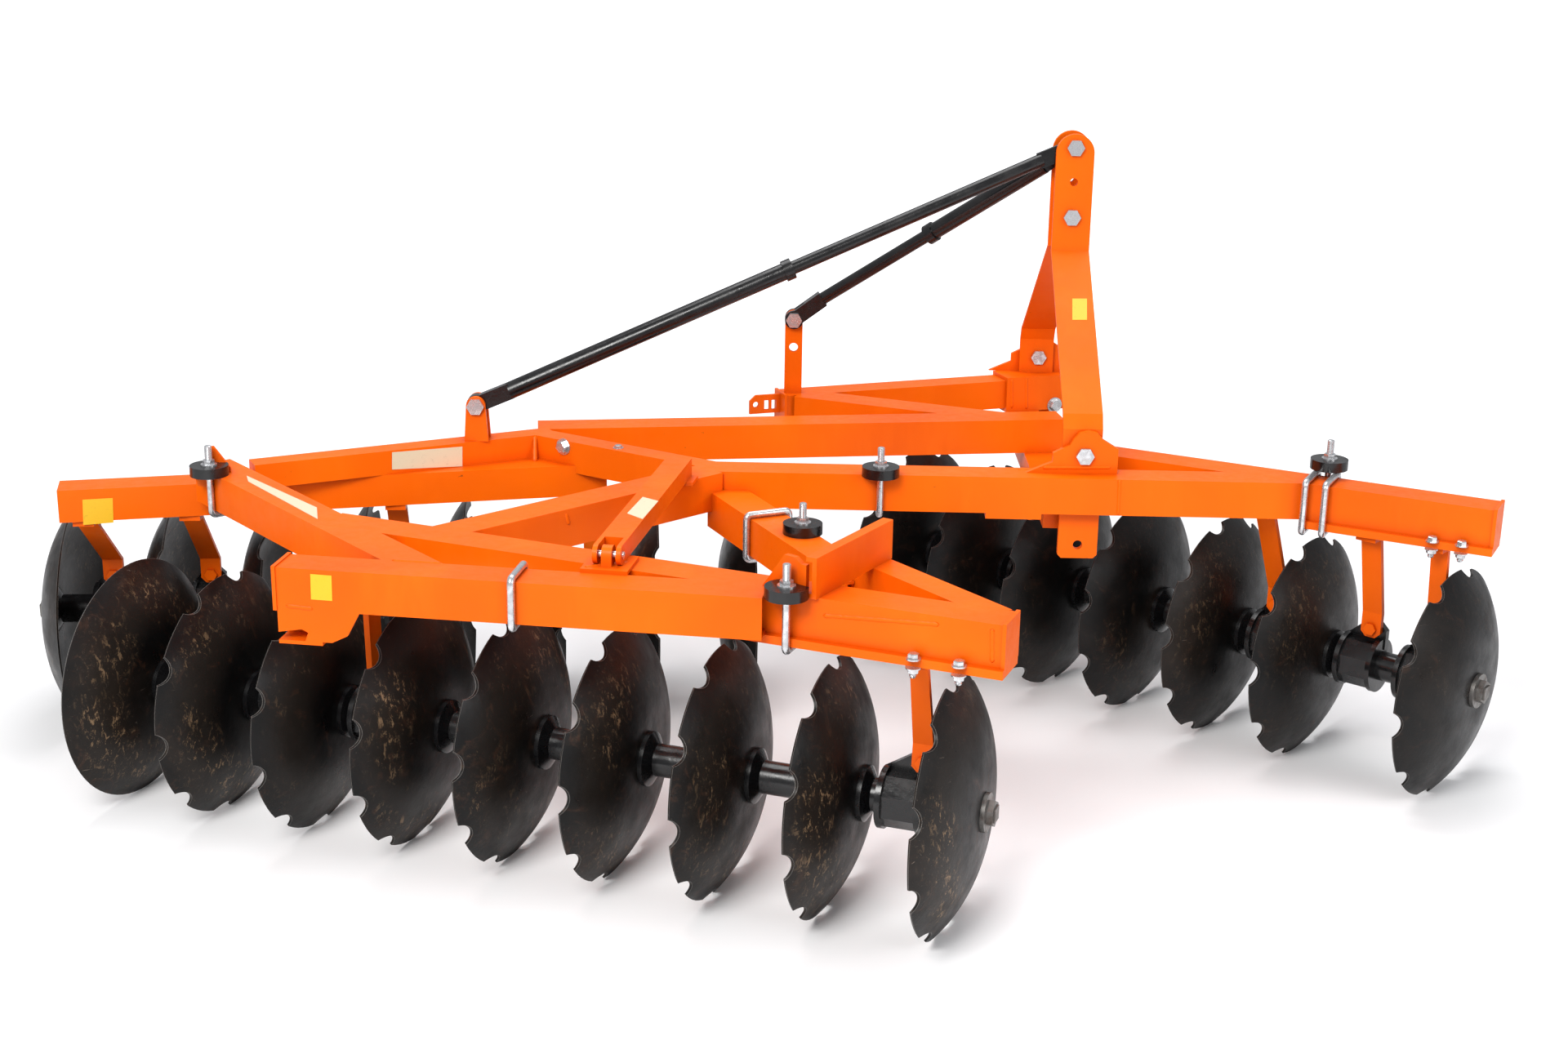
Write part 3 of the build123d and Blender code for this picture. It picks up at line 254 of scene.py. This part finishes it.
def black_paint(name="black_enamel"):
    """Gloss black, uneven and lightly dusty."""
    s = Shader(name)
    dust = s.ramp(s.noise(9, 5, 0.65, 0.4), 0.52, 0.82)
    colour = s.mix(s.math("MULTIPLY", dust, 0.18), BLACK, DUST)
    s.join(colour, s.bsdf.inputs["Base Color"])
    rough = s.ramp(s.noise(22, 4, 0.6), 0.35, 0.75, grey(0.16), grey(0.38))
    s.join(rough, s.bsdf.inputs["Roughness"])
    s.set(Specular_IOR_Level=0.5)
    s.bump(s.math("ADD", s.noise(90, 4, 0.6), s.noise(19, 3, 0.5)), 0.22, 0.0022)
    return s.material


def disc_steel(name, wear, joint):
    """Nearly black rolled steel: a ring of brown flakes, rust, scratches and a thin bright cutting edge."""
    s = Shader(name)
    radius = s.from_axle(joint)
    ring = s.math("MULTIPLY", s.ramp(radius, *FLAKE_RISE), s.ramp(radius, *FLAKE_FALL, grey(1), grey(0)))
    # Broad brown patches: partly worn steel, partly painted sheen
    broad = s.noise(3.2, 5, 0.62, 0.8)
    wear_and_sheen = s.ramp(broad, 0.46, 0.72)
    colour = s.mix(wear_and_sheen, DISC_BLACK, DISC_WEAR_SHEEN)
    rust = s.ramp(s.noise(15, 6, 0.74, 1.2), 0.56, 0.74)
    colour = s.mix(s.math("MULTIPLY", rust, 0.35 + 0.5 * wear), colour, DISC_RUST)
    chips = s.ramp(s.noise(58, 6, 0.82, 1.6), 0.63, 0.67)
    scratches = s.ramp(s.noise(26, 5, 0.75, 0.4, (1.0, 1.0, 7.0)), 0.66, 0.70)
    thin = s.ramp(s.noise(34, 5, 0.8, 0.2, (1.0, 8.0, 1.0)), 0.69, 0.72)
    marks = s.math("MULTIPLY", s.math("ADD", s.math("ADD", scratches, thin), chips), 0.25 + 0.6 * wear)
    marks = s.math("MULTIPLY", marks, s.ramp(broad, 0.40, 0.62))
    colour = s.mix(marks, colour, DISC_SCRATCH)
    colour = s.mix(s.math("MULTIPLY", ring, 0.38 * wear), colour, DISC_RING)
    flakes = s.ramp(s.noise(70, 7, 0.82, 0.5, (1.0, 1.0, 0.5)), 0.55, 0.60)
    worn = s.ramp(s.noise(3.4, 3, 0.6, 0.6), 0.44, 0.60)
    flakes = s.math("MULTIPLY", s.math("MULTIPLY", flakes, worn), ring)
    colour = s.mix(s.math("MULTIPLY", flakes, wear), colour, DISC_FLAKE)
    edge = s.edges(0.0014)
    colour = s.mix(s.math("MULTIPLY", edge, 0.30 + 0.3 * wear), colour, DISC_EDGE)
    s.join(colour, s.bsdf.inputs["Base Color"])
    s.set(Specular_IOR_Level=0.22)
    rough = s.ramp(s.noise(12, 5, 0.6), 0.3, 0.75, grey(0.26), grey(0.55))
    s.join(rough, s.bsdf.inputs["Roughness"])
    s.bump(s.math("ADD", s.noise(46, 6, 0.7), s.math("MULTIPLY", marks, 0.5)), 0.36, 0.0018)
    return s.material


def bare_steel(name="bare_steel"):
    """Dull steel with rust stains."""
    s = Shader(name)
    stain = s.ramp(s.noise(30, 5, 0.7, 0.5), 0.48, 0.72)
    s.join(s.mix(stain, BARE_STEEL, STEEL_STAIN), s.bsdf.inputs["Base Color"])
    s.set(Metallic=0.8)
    s.join(s.ramp(s.noise(60, 3, 0.6), 0.3, 0.7, grey(0.32), grey(0.55)), s.bsdf.inputs["Roughness"])
    s.bump(s.noise(140, 4, 0.6), 0.2, 0.0008)
    return s.material


def zinc(name="zinc_plate"):
    """Bright plating with cloudy patches."""
    s = Shader(name)
    cloud = s.ramp(s.noise(60, 4, 0.6, 0.6), 0.35, 0.75)
    s.join(s.mix(cloud, ZINC_BRIGHT, ZINC_CLOUD), s.bsdf.inputs["Base Color"])
    s.set(Metallic=0.85)
    s.join(s.ramp(cloud, 0.1, 0.9, grey(0.20), grey(0.38)), s.bsdf.inputs["Roughness"])
    s.bump(s.noise(180, 3, 0.6), 0.15, 0.0006)
    return s.material


def floor_material():
    """White, with shadows that stay light: camera rays see some of its own white."""
    s = Shader("floor")
    s.set(Base_Color=FLOOR_WHITE, Roughness=0.9, Specular_IOR_Level=0.05, Emission_Color=grey(1))
    seen = s.add("ShaderNodeLightPath").outputs["Is Camera Ray"]
    distance = s.add("ShaderNodeVectorMath", operation="LENGTH")
    s.join(s.place, distance.inputs[0])
    far = s.add("ShaderNodeMapRange")
    for key, value in zip(("From Min", "From Max", "To Min", "To Max"), FLOOR_FADE + FLOOR_GLOW):
        far.inputs[key].default_value = value
    s.join(distance.outputs["Value"], far.inputs["Value"])
    glow = s.add("ShaderNodeMath", operation="MULTIPLY")
    s.join(seen, glow.inputs[0])
    s.join(far.outputs[0], glow.inputs[1])
    s.join(glow.outputs[0], s.bsdf.inputs["Emission Strength"])
    return s.material


def label_paint(name, colour):
    """A blank printed plate: one colour, slightly soiled."""
    s = Shader(name)
    soil = s.ramp(s.noise(120, 4, 0.7, 0.5), 0.58, 0.75)
    dark = tuple(0.55 * c for c in colour[:3]) + (1,)
    s.join(s.mix(s.math("MULTIPLY", soil, 0.5), colour, dark), s.bsdf.inputs["Base Color"])
    s.set(Roughness=0.4)
    return s.material


ORANGE_PAINT = orange_paint()
ZINC_PLATE = zinc()
JOINTS = {joint["child"]: joint for joint in frame["record"]["behaviour"]["joints"]}
DISCS = {
    "discs_a": disc_steel("disc_steel_worn", 0.8, JOINTS["gang_a"]),
    "discs_b": disc_steel("disc_steel_clean", 0.2, JOINTS["gang_b"]),
    "discs_c": disc_steel("disc_steel", 0.5, JOINTS["gang_c"]),
}
FINISHES = {
    "orange_paint": ORANGE_PAINT,
    "black_paint": black_paint(),
    "axle_steel": bare_steel(),
    "zinc": ZINC_PLATE,
}
LABELS = {
    "yellow": label_paint("yellow_plate", YELLOW),
    "pale": label_paint("pale_plate", PALE),
}


def dress_frame():
    slots = {part["node"]: part["material_slot"] for part in frame["record"]["subparts"]}
    for name, node in nodes.items():
        node.data.materials.clear()
        node.data.materials.append(DISCS[name] if name in DISCS else FINISHES[slots[name]])


# Floor and light
WORLD_TINT = (0.96, 0.97, 1.0, 1)
WORLD_STRENGTH = 0.50
# Lamps: name, place, target, size, power and colour
LAMPS = (
    ("key", (-1.8, -4.4, 4.2), (0, 0, 0.5), (2.6, 2.0), 300, (1, 0.99, 0.97)),
    ("fill", (3.8, -3.0, 2.2), (0.4, 0, 0.4), (2.4, 2.0), 55, (1, 1, 1)),
    ("top", (0.2, 1.2, 4.6), (0, 0.1, 0.6), (4.0, 2.6), 130, (1, 1, 1)),
)


def make_stage():
    mesh = bpy.data.meshes.new("floor")
    work = bmesh.new()
    bmesh.ops.create_grid(work, x_segments=1, y_segments=1, size=FLOOR_SIZE)
    work.to_mesh(mesh)
    work.free()
    floor = bpy.data.objects.new("floor", mesh)
    bpy.context.collection.objects.link(floor)
    floor.data.materials.append(floor_material())


def area_light(name, place, target, size, power, colour):
    data = bpy.data.lights.new(name, "AREA")
    data.shape = "RECTANGLE"
    data.size, data.size_y = size
    data.energy = power
    data.color = colour
    light = bpy.data.objects.new(name, data)
    bpy.context.collection.objects.link(light)
    light.location = Vector(place)
    way = Vector(target) - light.location
    light.rotation_mode = "QUATERNION"
    light.rotation_quaternion = way.to_track_quat("-Z", "Y")


def make_light():
    world = bpy.data.worlds.new("world")
    bpy.context.scene.world = world
    world.use_nodes = True
    tree = world.node_tree
    background = tree.nodes["Background"]
    background.inputs["Color"].default_value = WORLD_TINT
    background.inputs["Strength"].default_value = WORLD_STRENGTH
    seen = tree.nodes.new("ShaderNodeBackground")
    seen.inputs["Color"].default_value = grey(1)
    seen.inputs["Strength"].default_value = 1.0
    path = tree.nodes.new("ShaderNodeLightPath")
    both = tree.nodes.new("ShaderNodeMixShader")
    tree.links.new(path.outputs["Is Camera Ray"], both.inputs[0])
    tree.links.new(background.outputs[0], both.inputs[1])
    tree.links.new(seen.outputs[0], both.inputs[2])
    tree.links.new(both.outputs[0], tree.nodes["World Output"].inputs["Surface"])
    for lamp in LAMPS:
        area_light(*lamp)


# Small pieces on the frame. Pixels are places in the photograph, found on the part by a ray.
class Finder:
    """Where a ray through a pixel of the photograph meets the frame's nodes."""

    def __init__(self):
        depsgraph = bpy.context.evaluated_depsgraph_get()
        self.trees = {name: BVHTree.FromObject(node, depsgraph) for name, node in nodes.items()}
        self.camera = bpy.context.scene.camera.matrix_world.copy()

    def way(self, pixel):
        x = (pixel[0] - PHOTO_WIDTH / 2) / FOCAL_PIXELS
        y = (PHOTO_HEIGHT / 2 - pixel[1]) / FOCAL_PIXELS
        return (self.camera.to_3x3() @ Vector((x, y, -1))).normalized()

    def hit(self, pixel, *names):
        """The place and the normal of the nearest face on the named nodes, or on any."""
        best = None
        start = self.camera.translation
        way = self.way(pixel)
        for name in names or self.trees:
            place, normal, _, distance = self.trees[name].ray_cast(start, way)
            if place is not None and (best is None or distance < best[2]):
                best = (place, normal, distance)
        return best[:2] if best else (None, None)

    def on_depth(self, pixel, depth):
        """The place on a pixel's ray where Y is depth."""
        way = self.way(pixel)
        return self.camera.translation + way * ((depth - self.camera.translation.y) / way.y)


def upright(place, axis, turn=0):
    """A matrix whose Z axis runs along an axis."""
    tilt = Vector(axis).to_track_quat("Z", "Y").to_matrix().to_4x4()
    return Matrix.Translation(place) @ tilt @ Matrix.Rotation(turn, 4, "Z")


def bridge(work, low, high):
    """Faces between two rings of vertices."""
    count = len(low)
    for index in range(count):
        after = (index + 1) % count
        work.faces.new((low[index], low[after], high[after], high[index]))


def lathe(work, place, profile, sides):
    """A turned shape from its (radius, height) profile, closed at both ends."""
    rings = []
    for radius, height in profile:
        ring = []
        for index in range(sides):
            angle = 2 * math.pi * index / sides
            point = Vector((radius * math.cos(angle), radius * math.sin(angle), height))
            ring.append(work.verts.new(place @ point))
        rings.append(ring)
    for low, high in zip(rings, rings[1:]):
        bridge(work, low, high)
    work.faces.new(list(reversed(rings[0])))
    work.faces.new(rings[-1])


def bolt_head(work, place, axis, radius, height, turn=0.2, washer=0.0022):
    """A hexagon head with a chamfer on a round washer."""
    spot = upright(place, axis, turn)
    lathe(work, spot, [(1.32 * radius, -0.0005), (1.32 * radius, washer)], 24)
    top = washer + height
    lathe(work, spot, [(radius, washer * 0.9), (radius, top - 0.16 * height), (0.84 * radius, top)], 6)


def stud_end(work, place, axis, radius, length, pitch=0.0022):
    """A threaded end, as fine steps along its length."""
    count = int(length / pitch)
    profile = [(radius, 0)]
    for index in range(count):
        profile += [(1.09 * radius, (index + 0.35) * pitch), (0.98 * radius, (index + 0.95) * pitch)]
    profile.append((0.8 * radius, length + 0.001))
    lathe(work, upright(place, axis), profile, 14)


def bead(work, points, normal, radius, rng):
    """An uneven weld bead along points on a face."""
    total = sum((b - a).length for a, b in zip(points, points[1:]))
    steps = max(4, int(total / (0.9 * radius)))
    rings = []
    for index in range(steps + 1):
        at = index / steps * (len(points) - 1)
        leg = min(int(at), len(points) - 2)
        place = points[leg].lerp(points[leg + 1], at - leg)
        along = (points[leg + 1] - points[leg]).normalized()
        side = along.cross(normal).normalized()
        wide = radius * (0.85 + 0.35 * rng.random())
        tall = 0.55 * wide
        if index in (0, steps):
            wide, tall = 0.3 * wide, 0.3 * tall
        ring = []
        for corner in range(BEAD_SIDES):
            angle = 2 * math.pi * corner / BEAD_SIDES
            offset = side * (wide * math.cos(angle)) + normal * (tall * math.sin(angle))
            ring.append(work.verts.new(place + offset))
        rings.append(ring)
    for low, high in zip(rings, rings[1:]):
        bridge(work, low, high)
    work.faces.new(rings[0])
    work.faces.new(list(reversed(rings[-1])))


def thin_plate(work, corners, normal, thick):
    """A flat plate on a face, from its outline, sunk a little into the face."""
    low = [work.verts.new(corner - normal * PLATE_SUNK) for corner in corners]
    high = [work.verts.new(corner + normal * thick) for corner in corners]
    work.faces.new(list(reversed(low)))
    work.faces.new(high)
    bridge(work, low, high)


def finish_piece(name, work, material, smooth=35):
    """One object from a bmesh, with its finish, riding on the frame."""
    bmesh.ops.recalc_face_normals(work, faces=work.faces)
    mesh = bpy.data.meshes.new(name)
    work.to_mesh(mesh)
    work.free()
    mesh.materials.append(material)
    for polygon in mesh.polygons:
        polygon.use_smooth = True
    mesh.set_sharp_from_angle(angle=math.radians(smooth))
    piece = bpy.data.objects.new(name, mesh)
    bpy.context.collection.objects.link(piece)
    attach(piece, "frame")


def islands(node):
    """The separate solids of a node, as (lowest, highest) corners."""
    work = bmesh.new()
    work.from_mesh(node.data)
    bmesh.ops.remove_doubles(work, verts=work.verts, dist=1e-5)
    seen = set()
    boxes = []
    for start in work.verts:
        if start in seen:
            continue
        seen.add(start)
        group, queue = [], [start]
        while queue:
            vert = queue.pop()
            group.append(vert.co.copy())
            for edge in vert.link_edges:
                other = edge.other_vert(vert)
                if other not in seen:
                    seen.add(other)
                    queue.append(other)
        boxes.append(tuple(Vector(pick(co[i] for co in group) for i in range(3)) for pick in (min, max)))
    work.free()
    return boxes


# Silver bolts that stand on a face: pixel, head radius and head height
FACE_BOLTS = (
    ((690, 547), 0.016, 0.012),
    ((757, 549), 0.010, 0.006),
    ((1291, 496), 0.017, 0.012),
)
# Bolts down through the lips under the gang beams, by the pixel of each head
LIP_BOLTS = ((1119, 812), (1175, 818), (884, 798), (1754, 663), (1790, 668))
LIP_BOLT_RADIUS = 0.0115
LIP_BOLT_HEIGHT = 0.010
LIP_STUD_RADIUS = 0.007
LIP_DROP = 0.018
LIP_OUT = 0.004
# The clamps' threaded ends above their nuts, and the washers below these
STUD_RADIUS = 0.008
STUD_LENGTH = 0.033
WASHER_RADIUS = 0.019
WASHER_THICK = 0.0028
WASHER_SIDES = 24
# Weld seams, each by the pixels at its two ends
SEAMS = (
    ((1239, 464), (1239, 500)),
    ((1257, 463), (1257, 501)),
    ((1256, 513), (1256, 550)),
    ((1278, 514), (1277, 549)),
    ((655, 533), (655, 565)),
    ((1371, 588), (1369, 631)),
    ((1277, 573), (1360, 573)),
    ((1246, 575), (1272, 575)),
    ((337, 690), (337, 748)),
    ((1008, 754), (1150, 765)),
    ((1215, 770), (1215, 812)),
    ((693, 629), (697, 643)),
    ((480, 686), (640, 695)),
    ((350, 742), (383, 746)),
    ((716, 694), (768, 688)),
)
SEAM_STEPS = 8
BEAD_RADIUS = 0.0042
BEAD_SIDES = 6
# The pointed lug that stands behind the left cap, by the pixels of its outline
LUG = (
    (258, 546), (262, 546), (283, 572), (285, 590), (262, 598),
    (243, 594), (239, 583), (256, 574), (257, 560),
)
LUG_BEHIND = 0.030
LUG_THICK = 0.006
# Blank plates: the pixels of their corners and their colour
PLATES = {
    "plate_on_left_beam": (((101, 612), (138, 610), (139, 640), (102, 643)), "yellow"),
    "plate_on_front_rail": (((380, 703), (406, 705), (407, 736), (381, 734)), "yellow"),
    "plate_on_link_arm": (((768, 629), (787, 609), (806, 614), (787, 636)), "pale"),
    "plate_on_mast": (((1313, 366), (1331, 366), (1331, 392), (1313, 392)), "yellow"),
    "plate_on_brace": (((302, 583), (304, 590), (389, 636), (388, 622)), "pale"),
    "plate_on_rear_beam": (((480, 554), (566, 547), (566, 571), (480, 575)), "pale"),
}
PLATE_THICK = 0.0009
PLATE_SUNK = 0.0004
UP = Vector((0, 0, 1))


def add_bolts(finder):
    """Every silver bolt, stud and washer, as one piece."""
    silver = bmesh.new()
    for pixel, radius, height in FACE_BOLTS:
        place, normal = finder.hit(pixel)
        if place:
            bolt_head(silver, place, normal, radius, height)
    for pixel in LIP_BOLTS:
        place, normal = finder.hit(pixel, "gang_beam_a", "gang_beam_b")
        if place:
            out = Vector((normal.x, normal.y, 0)).normalized() if abs(normal.z) < 0.9 else Vector((0, -1, 0))
            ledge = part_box("beam_pads")[1].z
            spot = Vector((place.x, place.y, ledge)) + out * LIP_OUT
            nut = spot - LIP_DROP * UP
            bolt_head(silver, spot, UP, LIP_BOLT_RADIUS, LIP_BOLT_HEIGHT)
            bolt_head(silver, nut, -UP, LIP_BOLT_RADIUS, LIP_BOLT_HEIGHT, 0.5)
            stud_end(silver, nut - LIP_BOLT_HEIGHT * UP, -UP, LIP_STUD_RADIUS, LIP_BOLT_HEIGHT)
    for low, high in islands(nodes["clamp_nuts"]):
        middle = (low + high) / 2
        stud_end(silver, Vector((middle.x, middle.y, high.z)), UP, STUD_RADIUS, STUD_LENGTH)
        under = upright(Vector((middle.x, middle.y, low.z)), UP)
        lathe(silver, under, [(WASHER_RADIUS, 0), (WASHER_RADIUS, WASHER_THICK)], WASHER_SIDES)
    finish_piece("frame_bolts", silver, ZINC_PLATE)


def add_welds(finder):
    """Beads along the seams, each kept to the face it starts on."""
    work = bmesh.new()
    rng = random.Random(7)
    for start, end in SEAMS:
        points = []
        face = None
        for step in range(SEAM_STEPS + 1):
            share = step / SEAM_STEPS
            pixel = tuple(a + (b - a) * share for a, b in zip(start, end))
            place, normal = finder.hit(pixel)
            if place and (face is None or (face - normal).length < 0.1):
                face = normal
                points.append(place)
        if len(points) > 1:
            bead(work, points, face, BEAD_RADIUS, rng)
    finish_piece("weld_beads", work, ORANGE_PAINT, smooth=80)


def add_lug(finder):
    """The small pointed lug behind the left cap, standing on the gang beam's corner."""
    caps = sorted(islands(nodes["clamp_caps"]), key=lambda box: box[0].x)
    depth = (caps[0][0].y + caps[0][1].y) / 2 + LUG_BEHIND
    work = bmesh.new()
    corners = [finder.on_depth(pixel, depth) for pixel in LUG]
    thin_plate(work, corners, Vector((0, -1, 0)), LUG_THICK)
    finish_piece("left_lug", work, ORANGE_PAINT)


def add_plates(finder):
    """The blank plates, each flat on the face behind its middle."""
    for name, (pixels, colour) in PLATES.items():
        middle = tuple(sum(pixel[axis] for pixel in pixels) / len(pixels) for axis in range(2))
        anchor, normal = finder.hit(middle)
        if anchor is None:
            continue
        corners = []
        for pixel in pixels:
            way = finder.way(pixel)
            start = finder.camera.translation
            corners.append(start + way * ((anchor - start).dot(normal) / way.dot(normal)))
        work = bmesh.new()
        thin_plate(work, corners, normal, PLATE_THICK)
        finish_piece(name, work, LABELS[colour])


bpy.context.scene.view_settings.view_transform = "Standard"
make_camera()
dress_frame()
make_stage()
make_light()
finder = Finder()
add_bolts(finder)
add_welds(finder)
add_lug(finder)
add_plates(finder)
